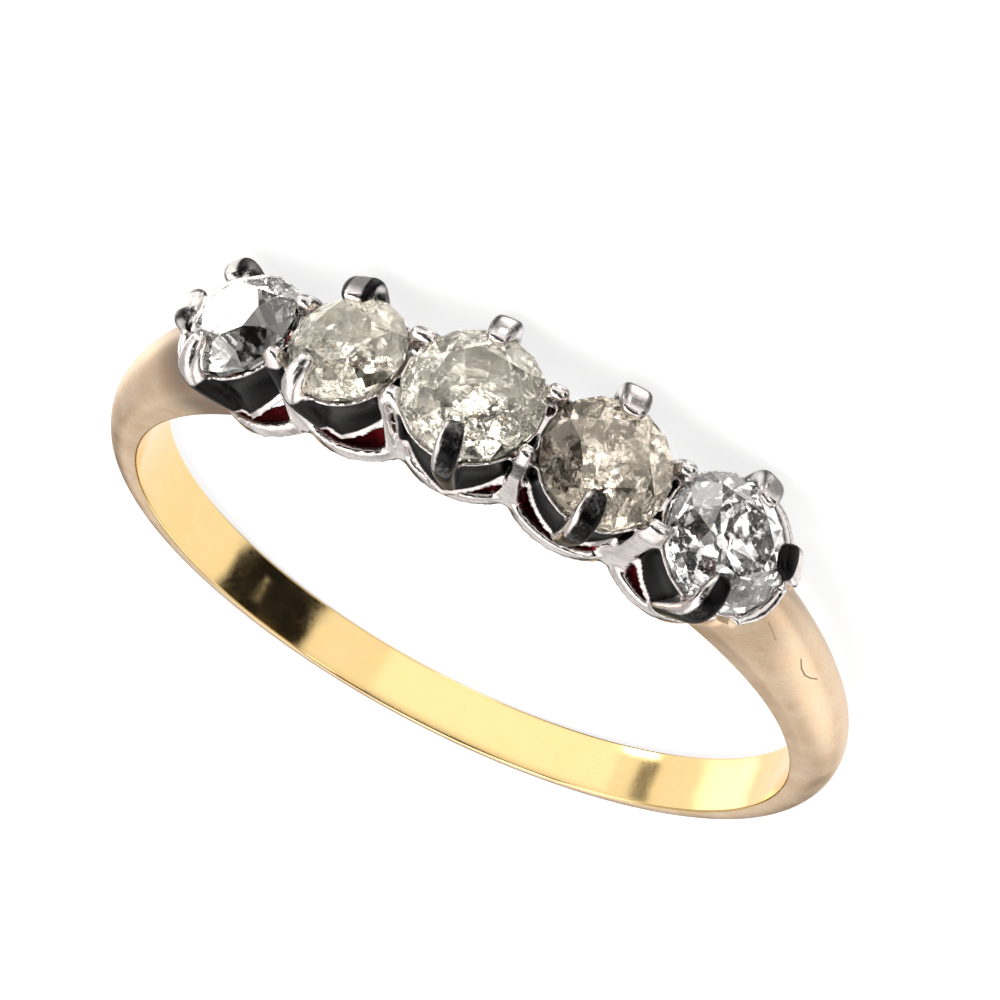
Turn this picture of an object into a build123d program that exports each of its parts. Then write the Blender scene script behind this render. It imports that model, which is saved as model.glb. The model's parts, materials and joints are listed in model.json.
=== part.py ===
from build123d import *
from collections import namedtuple
from math import asin, atan2, cos, degrees, radians, sin, sqrt
import os

# Five stone ring, in millimetres.
# The ring is drawn in its own frame: the finger axis is Z, the middle of the head is at -Y, and the near
# side of the ring is +Z. An angle along the ring starts at the middle of the head and grows towards -X.
# At the end the ring is laid on its far side on the plane Z = 0, with the origin under its middle.

# Finger hole and shank
finger_radius = 8.5
back_width = 1.60
shoulder_width = 1.95
back_thickness = 0.90
shoulder_thickness = 1.95
edge_height = 0.12
shoulder_edge_height = 0.75
edge_flare = 0.10
bore_allowance = 0.20
seam_angle = 36.0
shank_seam = 0.02

# Stones
centre_stone = 2.76
stone_spacing = 0.10
girdle_height = 2.06
girdle_thickness = 0.10
crown_share = 0.18
table_share = 0.54
crown_break_share = 0.80
pavilion_share = 0.42
pavilion_break_share = 0.45
culet_share = 0.13
facet_count = 8
stone_gap = 0.03

# Coronets that hold the stones
band_depth = 1.10
band_drop = 0.03
band_wall = 0.26
band_lip = 0.06
band_waist = 0.10
band_taper = 0.12
band_rise = 0.30
band_sag = 0.08

# Base rail on the finger
rail_height = 0.36
rail_reach = 1.55
rail_width = 1.27
rail_wall = 0.30

# Claws
claw_radius = 0.25
claw_tip_radius = 0.27
claw_set = 0.13
claw_bite = 0.34
claw_rise = 0.37
claw_bend = 0.30
claw_foot_share = 0.85
claw_foot_depth = 1.22
corner_claw_radius = 0.26
corner_claw_set = 0.22
corner_claw_rise = 0.22
corner_foot_share = 0.94
corner_tip_share = 0.90
end_claw_foot_depth = 0.55

# One row for each stone, from the photo's left to its right.
# size: girdle diameter, as a share of the centre stone
# turn: how far the facets are turned about the stone, in degrees
# near, far: where the two side claws stand, in degrees round the stone from its left
# drop: how far the coronet's points come down, as a share of the way from the band to the rail
Stone = namedtuple("Stone", "name size turn near far drop")
stones = [
    Stone("stone_1", 0.90, 12.0, 72.0, 293.0, 0.60),
    Stone("stone_2", 0.87, 5.0, 68.0, 279.0, 0.62),
    Stone("stone_3", 1.00, 16.0, 96.0, 270.0, 1.00),
    Stone("stone_4", 0.95, 9.0, 93.0, 275.0, 0.45),
    Stone("stone_5", 0.99, 22.0, 90.0, 268.0, 0.70),
]
end_claw_angles = (0.0, 192.0)

# At rest the ring lies on the far claws of these two stones and on the shank's back at this angle
rest_stones = ("stone_3", "stone_5")
rest_back_angle = 186.0

# Sections of the shank, from the back to the shoulder.
# angle: degrees from the middle of the head
# widen, thicken: how far the section has gone from the back's size (0) to the shoulder's size (1)
Section = namedtuple("Section", "angle widen thicken")
shank_sections = [
    Section(180.0, 0.00, 0.00),
    Section(170.0, 0.00, 0.00),
    Section(150.0, 0.00, 0.00),
    Section(122.0, 0.05, 0.01),
    Section(97.0, 0.14, 0.04),
    Section(77.0, 0.30, 0.12),
    Section(62.0, 0.50, 0.27),
    Section(51.0, 0.72, 0.50),
    Section(42.0, 0.90, 0.80),
    Section(34.0, 1.00, 1.05),
]

girdle_ring = finger_radius + girdle_height
rail_ring = finger_radius + rail_height
cutter_reach = 2 * girdle_ring


def stone_radius(stone):
    return centre_stone * stone.size / 2


def spread(first, second):
    """Angle along the ring between the axes of two neighbouring stones."""
    distance = stone_radius(first) + stone_radius(second) + stone_spacing
    return degrees(2 * asin(distance / (2 * girdle_ring)))


def stone_angles():
    """Angle of each stone along the ring, with the head's length centred."""
    angles = [0.0]
    for first, second in zip(stones, stones[1:]):
        angles.append(angles[-1] + spread(first, second))
    return [angle - angles[-1] / 2 for angle in angles]


def on_ring(angle, radius, side):
    """A point at an angle along the ring, a distance from the finger axis and a side offset."""
    return Vector(-radius * sin(radians(angle)), -radius * cos(radians(angle)), side)


def stone_plane(angle):
    """Plane of a stone's girdle: x to the photo's left, y to the near side, z outwards."""
    outwards = on_ring(angle, 1, 0)
    to_left = Vector(cos(radians(angle)), -sin(radians(angle)), 0)
    return Plane(origin=on_ring(angle, girdle_ring, 0), x_dir=to_left, z_dir=outwards)


def polar(radius, angle, height):
    """A point round a stone's axis, in the stone's own plane."""
    return Vector(radius * cos(radians(angle)), radius * sin(radians(angle)), height)


def flat_face(points):
    return Face(Wire.make_polygon(points, close=True))


class Cut:
    """Radii and heights of one old cut stone, from its girdle plane."""

    def __init__(self, radius):
        step = 180 / facet_count
        self.half = cos(radians(step))
        self.girdle = radius
        self.table = radius * table_share
        self.table_height = girdle_thickness / 2 + 2 * radius * crown_share
        self.crown_break = radius * crown_break_share
        self.culet = radius * culet_share
        self.culet_depth = -girdle_thickness / 2 - 2 * radius * pavilion_share
        self.pavilion_break = radius * pavilion_break_share
        self.top = girdle_thickness / 2
        self.bottom = -girdle_thickness / 2
        crown_run = (self.girdle - self.crown_break * self.half) / (self.girdle - self.table)
        self.crown_break_height = self.top + (self.table_height - self.top) * crown_run
        pavilion_run = (self.girdle - self.pavilion_break * self.half) / (self.girdle - self.culet * self.half)
        self.pavilion_break_height = self.bottom + (self.culet_depth - self.bottom) * pavilion_run


def old_cut_stone(radius, turn):
    """A faceted stone: table, 8 stars, 8 kites, 16 upper halves, girdle, 16 lower halves, 8 mains, culet."""
    cut = Cut(radius)
    step = 180 / facet_count
    corners = range(facet_count)

    def ring_point(ring, height, place):
        return polar(ring, turn + step * place, height)

    faces = [flat_face([ring_point(cut.table, cut.table_height, 2 * k) for k in corners])]
    faces.append(flat_face([ring_point(cut.culet, cut.culet_depth, 2 * k + 1) for k in corners]))
    for k in corners:
        middle = 2 * k
        table_here = ring_point(cut.table, cut.table_height, middle)
        table_next = ring_point(cut.table, cut.table_height, middle + 2)
        crown_here = ring_point(cut.crown_break, cut.crown_break_height, middle + 1)
        crown_last = ring_point(cut.crown_break, cut.crown_break_height, middle - 1)
        upper = [ring_point(cut.girdle, cut.top, middle + n) for n in range(3)]
        lower = [ring_point(cut.girdle, cut.bottom, middle + n) for n in range(3)]
        pavilion_here = ring_point(cut.pavilion_break, cut.pavilion_break_height, middle + 1)
        pavilion_last = ring_point(cut.pavilion_break, cut.pavilion_break_height, middle - 1)
        culet_here = ring_point(cut.culet, cut.culet_depth, middle + 1)
        culet_last = ring_point(cut.culet, cut.culet_depth, middle - 1)
        faces.append(flat_face([table_here, table_next, crown_here]))
        faces.append(flat_face([table_here, crown_here, upper[0], crown_last]))
        faces.append(flat_face([lower[0], pavilion_here, culet_here, culet_last, pavilion_last]))
        for n in range(2):
            faces.append(flat_face([crown_here, upper[n], upper[n + 1]]))
            faces.append(flat_face([upper[n], upper[n + 1], lower[n + 1], lower[n]]))
            faces.append(flat_face([pavilion_here, lower[n], lower[n + 1]]))
    return Solid(Shell(faces))


def stone_room(radius):
    """The stone's outline turned round its axis, a gap larger all over."""
    cut = Cut(radius)
    outline = Polyline(
        (0, cut.table_height + stone_gap),
        (cut.table + stone_gap, cut.table_height + stone_gap),
        (cut.crown_break + stone_gap, cut.crown_break_height + stone_gap),
        (cut.girdle + stone_gap, cut.top + stone_gap),
        (cut.girdle + stone_gap, cut.bottom - stone_gap),
        (cut.pavilion_break + stone_gap, cut.pavilion_break_height - stone_gap),
        (cut.culet + stone_gap, cut.culet_depth - stone_gap),
        (0, cut.culet_depth - stone_gap),
        close=True,
    )
    return revolve(make_face(Plane.XZ * outline), Axis.Z)


def band_radius(radius):
    """Outer radius of a coronet at its lip."""
    return radius + band_lip


def point_depth(drop):
    """How far a coronet's two points come down from the girdle plane."""
    return band_depth + drop * (girdle_height - band_depth - rail_height / 2)


def coronet_blank(radius, drop, growth=0.0):
    """A coronet before it is hollowed: a scooped wall, cut below to two points by four arcs."""
    lip = band_radius(radius) + growth
    top = -girdle_thickness / 2 - stone_gap - band_drop
    low = -point_depth(drop) - growth
    foot = lip - band_taper
    outline = Line((0, top), (lip, top))
    outline += ThreePointArc((lip, top), (lip - band_waist, -band_depth / 2), (foot, -band_depth))
    outline += Polyline((foot, -band_depth), (foot, 2 * low), (0, 2 * low), (0, top))
    blank = revolve(make_face(Plane.XZ * outline), Axis.Z)
    high = -band_depth + band_rise - growth
    wide = 2 * lip
    middle = (high + low) / 2 + band_sag
    edge = ThreePointArc((-lip, high), (-lip / 2, middle), (0, low))
    edge += ThreePointArc((0, low), (lip / 2, middle), (lip, high))
    edge += Polyline((lip, high), (wide, high), (wide, 3 * low), (-wide, 3 * low), (-wide, high), (-lip, high))
    return blank - extrude(Plane.XZ * make_face(edge), amount=wide, both=True)


def coronet_hollow(radius):
    """Open inside of a coronet, from the lip down through the base rail."""
    lip = band_radius(radius) - band_wall
    rim = lip - band_taper
    floor = -girdle_height - rail_height
    outline = Polyline((0, 0), (lip, 0), (rim, -band_depth), (rim, floor), (0, floor), close=True)
    return revolve(make_face(Plane.XZ * outline), Axis.Z)


def claw(points, radius, tip_radius):
    """A claw bent through three points: foot, elbow beside the girdle, and round tip over the crown."""
    foot, elbow, tip = points
    path = FilletPolyline(foot, elbow, tip, radius=claw_bend)
    upright = elbow - foot
    leg = sweep(Plane(origin=foot, z_dir=upright) * Circle(radius), path=path)
    return leg + Plane(origin=tip, z_dir=upright) * Sphere(tip_radius)


def side_claw(radius, angle, foot_depth):
    """Foot, elbow and tip of a claw that stands beside a stone, in the stone's plane."""
    foot = polar(band_radius(radius) - band_taper * claw_foot_share, angle, -foot_depth)
    elbow = polar(radius + claw_set, angle, 0)
    tip = polar(radius - claw_bite, angle, claw_rise)
    return [foot, elbow, tip]


def corner_claw(first, second, first_angle, second_angle, side):
    """Foot, elbow and tip of a claw that stands in the corner between two stones, in the ring's frame."""
    middle = (first_angle + second_angle) / 2
    mean_radius = (stone_radius(first) + stone_radius(second)) / 2
    half_distance = girdle_ring * sin(radians((second_angle - first_angle) / 2))
    stand = side * sqrt((mean_radius + corner_claw_set) ** 2 - half_distance ** 2)
    rail_half = rail_ring * sin(radians((second_angle - first_angle) / 2))
    corner = side * rail_width * sqrt(1 - (rail_half / rail_reach) ** 2)
    foot = on_ring(middle, rail_ring - rail_height / 2, corner * corner_foot_share)
    elbow = on_ring(middle, girdle_ring, stand)
    tip = on_ring(middle, girdle_ring + corner_claw_rise, stand * corner_tip_share)
    return [foot, elbow, tip]


def end_claw_points():
    """The two claws at the ends of the head, in the planes of the end stones."""
    ends = []
    for stone, angle in zip((stones[0], stones[-1]), end_claw_angles):
        ends.append(side_claw(stone_radius(stone), angle, end_claw_foot_depth))
    return ends


def base_rail(angles):
    """Lobed strip that lies on the finger, open under each stone."""
    height = 3 * rail_height
    lobes = []
    holes = []
    for angle in angles:
        base = Plane(origin=on_ring(angle, finger_radius - rail_height, 0), z_dir=on_ring(angle, 1, 0),
                     x_dir=stone_plane(angle).x_dir)
        lobes.append(extrude(base * Ellipse(rail_reach, rail_width), amount=height))
        holes.append(extrude(base * Ellipse(rail_reach - 2 * rail_wall, rail_width - rail_wall), amount=height))
    shell = Cylinder(rail_ring, cutter_reach) - Cylinder(finger_radius, cutter_reach)
    rail = (lobes[0].fuse(*lobes[1:]) & shell).cut(*holes)
    return rail & head_sector(seam_angle)


def head_sector(half_angle):
    """A block over the head, from the finger axis out, between two planes through the axis."""
    left = on_ring(-half_angle, cutter_reach, 0)
    right = on_ring(half_angle, cutter_reach, 0)
    outline = Polyline((0, 0), (left.X, left.Y), (0, -cutter_reach), (right.X, right.Y), close=True)
    return extrude(make_face(outline), amount=cutter_reach, both=True)


def shank_section(angle, widen, thicken):
    """The open D of one section: a short flared edge, the dome and the other edge."""
    width = back_width + widen * (shoulder_width - back_width)
    thickness = back_thickness + thicken * (shoulder_thickness - back_thickness)
    edge = edge_height + widen * (shoulder_edge_height - edge_height)
    outer = width / 2
    inner = outer - edge_flare * widen
    near_inner = on_ring(angle, finger_radius - bore_allowance, inner)
    near_outer = on_ring(angle, finger_radius + edge, outer)
    crest = on_ring(angle, finger_radius + thickness, 0)
    far_outer = on_ring(angle, finger_radius + edge, -outer)
    far_inner = on_ring(angle, finger_radius - bore_allowance, -inner)
    return Wire([
        Edge.make_line(near_inner, near_outer),
        Edge.make_three_point_arc(near_outer, crest, far_outer),
        Edge.make_line(far_outer, far_inner),
    ])


def hoop_blank():
    """The hoop before boring: a domed skin through the sections, closed inside and at its ends."""
    right = [shank_section(*section) for section in shank_sections]
    left = [shank_section(-section.angle, section.widen, section.thicken) for section in shank_sections[1:]]
    skin = Shell.make_loft([*reversed(left), *right])
    long_edges = [edge for edge in skin.edges() if edge.length > finger_radius]
    near, far = sorted(long_edges, key=lambda edge: edge.length)[:2]
    if (near @ 0 - far @ 0).length > finger_radius / 2:
        far = far.reversed()
    inside = Face.make_surface_from_curves(near, far)
    ends = []
    for way in (-1, 1):
        rim = [edge for edge in [*skin.edges(), *inside.edges()]
               if edge.length < finger_radius and edge.center().X * way > 0]
        ends.append(Face(Wire(rim, sequenced=True)))
    return Solid(Shell([*skin.faces(), inside, *ends]))


def make_shank(angles):
    """The gold hoop: it swells into shoulders that carry the ends of the head."""
    rooms = [Cylinder(finger_radius, cutter_reach), head_sector(seam_angle + degrees(shank_seam / finger_radius))]
    for stone, angle, points in zip((stones[0], stones[-1]), (angles[0], angles[-1]), end_claw_points()):
        place = stone_plane(angle).location
        rooms.append(place * coronet_blank(stone_radius(stone), stone.drop, shank_seam))
        rooms.append(place * claw(points, claw_radius + shank_seam, claw_tip_radius + shank_seam))
    return hoop_blank().cut(*rooms)


def make_setting(angles):
    """The head: five coronets with their points, all the claws and the base rail, soldered into one."""
    places = [stone_plane(angle).location for angle in angles]
    rooms = [[coronet_hollow(stone_radius(stone)), stone_room(stone_radius(stone))] for stone in stones]
    coronets = []
    claws = []
    for stone, place, room in zip(stones, places, rooms):
        radius = stone_radius(stone)
        coronets.append(place * coronet_blank(radius, stone.drop).cut(*room))
        for claw_angle in (stone.near, stone.far):
            points = side_claw(radius, claw_angle, claw_foot_depth)
            claws.append(place * claw(points, claw_radius, claw_tip_radius).cut(*room))
    placed_rooms = [[place * tool for tool in room] for place, room in zip(places, rooms)]
    for k in range(len(stones) - 1):
        for side in (-1, 1):
            points = corner_claw(stones[k], stones[k + 1], angles[k], angles[k + 1], side)
            whole = claw(points, corner_claw_radius, claw_tip_radius)
            claws.append(whole.cut(*placed_rooms[k], *placed_rooms[k + 1]))
    for end, points in zip((0, -1), end_claw_points()):
        claws.append(places[end] * claw(points, claw_radius, claw_tip_radius).cut(*rooms[end]))
    rail = base_rail(angles).cut(*[room[0] for room in placed_rooms])
    return coronets[0].fuse(*coronets[1:]).fuse(*claws).fuse(rail)


def make_stones(angles):
    cut_stones = {}
    for stone, angle in zip(stones, angles):
        cut_stones[stone.name] = stone_plane(angle).location * old_cut_stone(stone_radius(stone), stone.turn)
    return cut_stones


def resting_place(angles):
    """Where the ring lies by itself: on two far claws and on the far edge of the shank's back."""
    touches = [on_ring(rest_back_angle, finger_radius, -back_width / 2)]
    for stone, angle in zip(stones, angles):
        if stone.name in rest_stones:
            stand = polar(stone_radius(stone) + claw_set, stone.far, 0)
            touches.append(stone_plane(angle).from_local_coords(stand) - Vector(0, 0, claw_radius))
    back, first, second = touches
    up = (second - back).cross(first - back).normalized()
    along = (Vector(1, 0, 0) - up * up.X).normalized()
    return Plane(origin=back, x_dir=along, z_dir=up).location.inverse()


os.makedirs("parts", exist_ok=True)
head_angles = stone_angles()
pieces = {"shank": make_shank(head_angles), "setting": make_setting(head_angles)}
pieces.update(make_stones(head_angles))
laid = resting_place(head_angles)
box = Compound([laid * piece for piece in pieces.values()]).bounding_box()
stand = Pos(-box.center().X, -box.center().Y, -box.min.Z) * laid
for name, piece in pieces.items():
    export_step(stand * piece, f"parts/{name}.step")
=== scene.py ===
import json
from collections import namedtuple
from math import asin, atan2, cos, degrees, hypot, pi, radians, sin, sqrt

import bpy
from mathutils import Matrix, Vector


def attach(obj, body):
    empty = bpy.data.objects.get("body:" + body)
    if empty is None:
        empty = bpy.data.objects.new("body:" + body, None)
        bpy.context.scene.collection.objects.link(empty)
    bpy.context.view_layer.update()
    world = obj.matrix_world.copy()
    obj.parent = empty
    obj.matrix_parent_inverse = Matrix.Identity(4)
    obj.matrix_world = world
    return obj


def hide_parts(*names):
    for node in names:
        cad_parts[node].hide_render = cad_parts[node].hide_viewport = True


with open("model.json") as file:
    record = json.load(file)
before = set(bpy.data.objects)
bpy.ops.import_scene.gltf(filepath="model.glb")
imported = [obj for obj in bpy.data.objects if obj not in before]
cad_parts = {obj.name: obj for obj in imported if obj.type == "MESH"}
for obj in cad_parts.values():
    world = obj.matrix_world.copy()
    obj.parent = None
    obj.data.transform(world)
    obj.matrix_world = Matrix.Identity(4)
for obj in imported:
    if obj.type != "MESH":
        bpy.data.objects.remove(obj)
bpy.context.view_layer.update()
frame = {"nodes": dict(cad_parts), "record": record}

# The ring is worked out in millimetres in its own frame, and then carried to the frame of the CAD row.
# In its own frame the finger axis is Z, the middle of the head is at -Y and the near side is +Z.
# An angle along the ring starts at the middle of the head and grows towards -X.
MM = 0.001

# Sizes of the metalwork and the stones, as in the part
finger_radius = 8.5
back_width = 1.60
shoulder_width = 1.95
back_thickness = 0.90
shoulder_thickness = 1.95
edge_height = 0.12
shoulder_edge_height = 0.75
edge_flare = 0.10
seam_angle = 36.0
centre_stone = 2.76
stone_spacing = 0.10
girdle_height = 2.06
girdle_thickness = 0.10
stone_gap = 0.03
band_depth = 1.10
band_drop = 0.03
band_wall = 0.26
band_lip = 0.06
band_waist = 0.10
band_taper = 0.12
band_rise = 0.30
rail_height = 0.36
rail_reach = 1.55
rail_width = 1.27
rail_wall = 0.30
corner_claw_set = 0.22

Stone = namedtuple("Stone", "name size turn near far drop")
stones = [
    Stone("stone_1", 0.90, 12.0, 72.0, 298.0, 0.60),
    Stone("stone_2", 0.87, 5.0, 68.0, 279.0, 0.62),
    Stone("stone_3", 1.00, 16.0, 96.0, 270.0, 1.00),
    Stone("stone_4", 0.95, 9.0, 93.0, 275.0, 0.45),
    Stone("stone_5", 0.99, 22.0, 90.0, 262.0, 0.70),
]
end_claw_angles = (0.0, 192.0)

Section = namedtuple("Section", "angle widen thicken")
shank_sections = [
    Section(34.0, 1.00, 1.05),
    Section(42.0, 0.90, 0.80),
    Section(51.0, 0.72, 0.50),
    Section(62.0, 0.50, 0.27),
    Section(77.0, 0.30, 0.12),
    Section(97.0, 0.14, 0.04),
    Section(122.0, 0.05, 0.01),
    Section(150.0, 0.00, 0.00),
    Section(180.0, 0.00, 0.00),
]

girdle_ring = finger_radius + girdle_height
rail_ring = finger_radius + rail_height


def ring_matrix():
    """Carries the ring's own millimetres to the row's metres, by the finger hole's mount."""
    bore = next(mount for mount in frame["record"]["mounts"] if mount["name"] == "finger_bore")
    own_z = Vector(bore["axis"]).normalized()
    own_x = Vector((0, 1, 0)).cross(own_z).normalized()
    own_y = own_z.cross(own_x)
    turn = Matrix((own_x, own_y, own_z)).transposed().to_4x4()
    return Matrix.Translation(bore["pos_m"]) @ turn @ Matrix.Scale(MM, 4)


ring_to_row = ring_matrix()
row_to_ring = ring_to_row.inverted()
finger_axis = ring_to_row.to_3x3().col[2].normalized()
near_middle = finger_axis.dot(ring_to_row.translation) / MM


def on_ring(angle, radius, side):
    """A point at an angle along the ring, a distance from the finger axis and a side offset."""
    return Vector((-radius * sin(radians(angle)), -radius * cos(radians(angle)), side))


def stone_radius(stone):
    return centre_stone * stone.size / 2


def stone_angles():
    """Angle of each stone along the ring, with the head's length centred."""
    angles = [0.0]
    for first, second in zip(stones, stones[1:]):
        distance = stone_radius(first) + stone_radius(second) + stone_spacing
        angles.append(angles[-1] + degrees(2 * asin(distance / (2 * girdle_ring))))
    return [angle - angles[-1] / 2 for angle in angles]


head_angles = stone_angles()


def stone_matrix(angle):
    """A stone's own frame: x to the photo's left, y to the near side, z outwards from its girdle."""
    out = on_ring(angle, 1, 0)
    left = Vector((cos(radians(angle)), -sin(radians(angle)), 0))
    near = out.cross(left)
    turn = Matrix((left, near, out)).transposed().to_4x4()
    return Matrix.Translation(on_ring(angle, girdle_ring, 0)) @ turn


stone_places = [stone_matrix(angle).inverted() for angle in head_angles]
corner_angles = [(first + second) / 2 for first, second in zip(head_angles, head_angles[1:])]


def smooth_step(share):
    share = min(max(share, 0.0), 1.0)
    return share * share * (3 - 2 * share)


# The edge of a mask: where a value starts to count, and over what width it comes in.
Edge = namedtuple("Edge", "start width")


def past(edge, value):
    """0 before an edge and 1 past it, with a smooth step between."""
    return smooth_step((value - edge.start) / edge.width)


class Shape:
    """Collects points and faces in millimetres, and makes one mesh object of them in the row's frame."""

    def __init__(self):
        self.points = []
        self.faces = []

    def add(self, points, faces):
        start = len(self.points)
        self.points.extend(points)
        self.faces.extend([tuple(start + k for k in face) for face in faces])

    def tube(self, loops, closed_along=False):
        """Skin through loops of equal length. Open tubes get a fan at each end."""
        count = len(loops[0])
        points = [point for loop in loops for point in loop]
        faces = []
        spans = len(loops) if closed_along else len(loops) - 1
        for i in range(spans):
            here = i * count
            there = ((i + 1) % len(loops)) * count
            for j in range(count):
                nxt = (j + 1) % count
                faces.append((here + j, here + nxt, there + nxt, there + j))
        if not closed_along:
            last = (len(loops) - 1) * count
            for first, order in ((0, -1), (last, 1)):
                centre = sum((points[first + k] for k in range(count)), Vector()) / count
                points.append(centre)
                for j in range(count):
                    pair = (first + j, first + (j + 1) % count)[::order]
                    faces.append((*pair, len(points) - 1))
        self.add(points, faces)

    def make(self, name):
        mesh = bpy.data.meshes.new(name)
        mesh.from_pydata([ring_to_row @ point for point in self.points], [], self.faces)
        mesh.validate()
        mesh.shade_smooth()
        obj = bpy.data.objects.new(name, mesh)
        bpy.context.scene.collection.objects.link(obj)
        return obj


def add_mask(obj, name, value_at):
    """A value from 0 to 1 on each point of a mesh, worked out from its place in the ring's own frame."""
    values = [value_at(row_to_ring @ vertex.co) for vertex in obj.data.vertices]
    mask = obj.data.attributes.new(name, "FLOAT", "POINT")
    mask.data.foreach_set("value", values)


def keep_modifiers(obj):
    """Make the result of an object's modifiers its own mesh."""
    graph = bpy.context.evaluated_depsgraph_get()
    mesh = bpy.data.meshes.new_from_object(obj.evaluated_get(graph))
    obj.modifiers.clear()
    obj.data = mesh


def spline(values, place):
    """Smooth value between the entries of a list, for a place counted in entries."""
    last = len(values) - 1
    k = min(int(place), last - 1)
    t = place - k
    before = values[max(k - 1, 0)]
    here, there = values[k], values[k + 1]
    after = values[min(k + 2, last)]
    return (here * 2 + (there - before) * t + (before * 2 - here * 5 + there * 4 - after) * t * t
            + (here * 3 - before - there * 3 + after) * t * t * t) / 2


def section_at(angle):
    """Widen and thicken of the shank at an angle from the middle of the head."""
    angle = min(angle, 360 - angle)
    for k, (low, high) in enumerate(zip(shank_sections, shank_sections[1:])):
        if angle <= high.angle:
            place = k + (angle - low.angle) / (high.angle - low.angle)
            break
    widen = spline([section.widen for section in shank_sections], place)
    thicken = spline([section.thicken for section in shank_sections], place)
    return widen, thicken


dome_steps = 26
edge_steps = 5
wall_steps = 4
inner_round = 0.07
ridge_blend = 0.35


def shank_profile(angle):
    """Side and radius of the points round one section: the dome, both walls, rounded edges and the inside."""
    widen, thicken = section_at(angle)
    width = back_width + widen * (shoulder_width - back_width)
    thickness = back_thickness + thicken * (shoulder_thickness - back_thickness)
    edge = edge_height + widen * (shoulder_edge_height - edge_height)
    outer = width / 2
    inner = outer - edge_flare * widen
    rise = thickness - edge
    half = []
    for k in range(dome_steps + 1):
        turn = pi / 2 * k / dome_steps
        round_side, round_up = outer * sin(turn), rise * cos(turn)
        flat_share = k / dome_steps
        flat_side, flat_up = outer * flat_share, rise * (1 - flat_share)
        mix = ridge_blend * widen * sin(2 * turn)
        up = round_up + (flat_up - round_up) * mix
        half.append((round_side + (flat_side - round_side) * mix, edge + up))
    for k in range(1, wall_steps + 1):
        share = k / wall_steps
        half.append((outer + (inner - outer) * share, edge + (inner_round - edge) * share))
    for k in range(1, edge_steps + 1):
        turn = pi / 2 * k / edge_steps
        half.append((inner - inner_round * (1 - cos(turn)), inner_round * (1 - sin(turn))))
    near = [(side, finger_radius + up) for side, up in half]
    far = [(-side, radius) for side, radius in reversed(near)]
    inside = [(-near[-1][0] + 2 * near[-1][0] * k / wall_steps, finger_radius) for k in range(1, wall_steps)]
    return near + [(-side, radius) for side, radius in inside] + far[:-1]


shank_stations = 260
# The gold runs this far into the end coronet's wall, which swells towards the shoulder by the collar.
coronet_bite = 0.08
end_collar = 0.12


def shank_start(side, radius, end):
    """Angle at which the gold starts: at the rail's end below, and at the end coronet's wall above."""
    reach = stone_radius(stones[end]) + band_lip + 2 * end_collar - coronet_bite
    place = abs(head_angles[end])
    depth = girdle_ring - radius
    if depth > band_depth - band_rise / 2:
        return seam_angle
    half = sqrt(max(reach ** 2 - side ** 2, 0.0))
    return place + degrees(asin(half / radius))


def build_shank():
    shape = Shape()
    count = len(shank_profile(180))
    loops = []
    first = shank_profile(seam_angle)
    starts = [[shank_start(side, radius, end) for side, radius in first] for end in (-1, 0)]
    for k in range(shank_stations + 1):
        share = k / shank_stations
        loop = []
        for j in range(count):
            angle = starts[0][j] + (360 - starts[1][j] - starts[0][j]) * share
            side, radius = shank_profile(angle)[j]
            loop.append(on_ring(angle, radius, side))
        loops.append(loop)
    shape.tube(loops)
    shank = shape.make("shank_gold")
    add_mask(shank, "inside", inside_at)
    # A mask of painted shade on the gold beside the head.
    add_mask(shank, "head_shade", head_shade_at)
    return shank


# Where the painted shade on the gold beside the head ends on each shoulder, in degrees along the ring, and
# where
# its near side begins, in mm. faint: how strong it is at the photo's right. far: on the far side of its left.
head_shade_right = Edge(seam_angle + 3, 12)
head_shade_left = Edge(seam_angle + 5, 9)
head_shade_near = Edge(-0.2, 0.8)
head_shade_faint = 0.30
head_shade_far = 0.45


def head_shade_at(point):
    """Painted shade on the gold beside the head: strong at the photo's left on the near side, faint at its
    right.
    """
    angle = degrees(atan2(-point.x, -point.y))
    if angle > 0:
        return head_shade_faint * (1 - past(head_shade_right, angle))
    strength = head_shade_far + (1 - head_shade_far) * past(head_shade_near, point.z)
    return strength * (1 - past(head_shade_left, -angle))


def inside_at(point):
    """1 on the polished inside of the finger hole, 0 outside."""
    return 1 - smooth_step((hypot(point.x, point.y) - finger_radius) / inner_round)


bar_sides = 28
bar_stations = 30
path_step = 0.02
face_flatness = 0.62


def flattened(value):
    """A cosine or sine pushed outwards, so that a bar gets flat faces and rounded edges."""
    return abs(value) ** face_flatness * (1 if value > 0 else -1)


def bar(shape, path, across, through, sideways):
    """A rounded bar along a smooth path, with a half width and a half depth at each of its points."""
    last = len(path) - 1
    loops = []
    for k in range(bar_stations + 1):
        share = k / bar_stations
        place = share * last
        centre = spline(path, place)
        ahead = spline(path, min(place + path_step, last)) - spline(path, max(place - path_step, 0))
        along = ahead.normalized()
        depth_way = along.cross(sideways).normalized()
        side_way = depth_way.cross(along).normalized()
        wide, deep = spline(across, place), spline(through, place)
        loop = []
        for j in range(bar_sides):
            turn = 2 * pi * j / bar_sides
            aside, inwards = wide * flattened(cos(turn)), deep * flattened(sin(turn))
            loop.append(centre + side_way * aside + depth_way * inwards)
        loops.append(loop)
    shape.tube(dome_cap(loops, 0, -1) + loops + dome_cap(loops, -1, 1))


cap_steps = 6


def dome_cap(loops, end, way):
    """Loops that round off one end of a bar."""
    rim = loops[end]
    centre = sum(rim, Vector()) / len(rim)
    inside = loops[end - way]
    along = (centre - sum(inside, Vector()) / len(inside)).normalized()
    reach = min((point - centre).length for point in rim)
    caps = []
    for k in range(1, cap_steps):
        turn = pi / 2 * k / cap_steps
        caps.append([centre + (point - centre) * cos(turn) + along * (reach * sin(turn)) for point in rim])
    return caps if way > 0 else caps[::-1]


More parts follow.
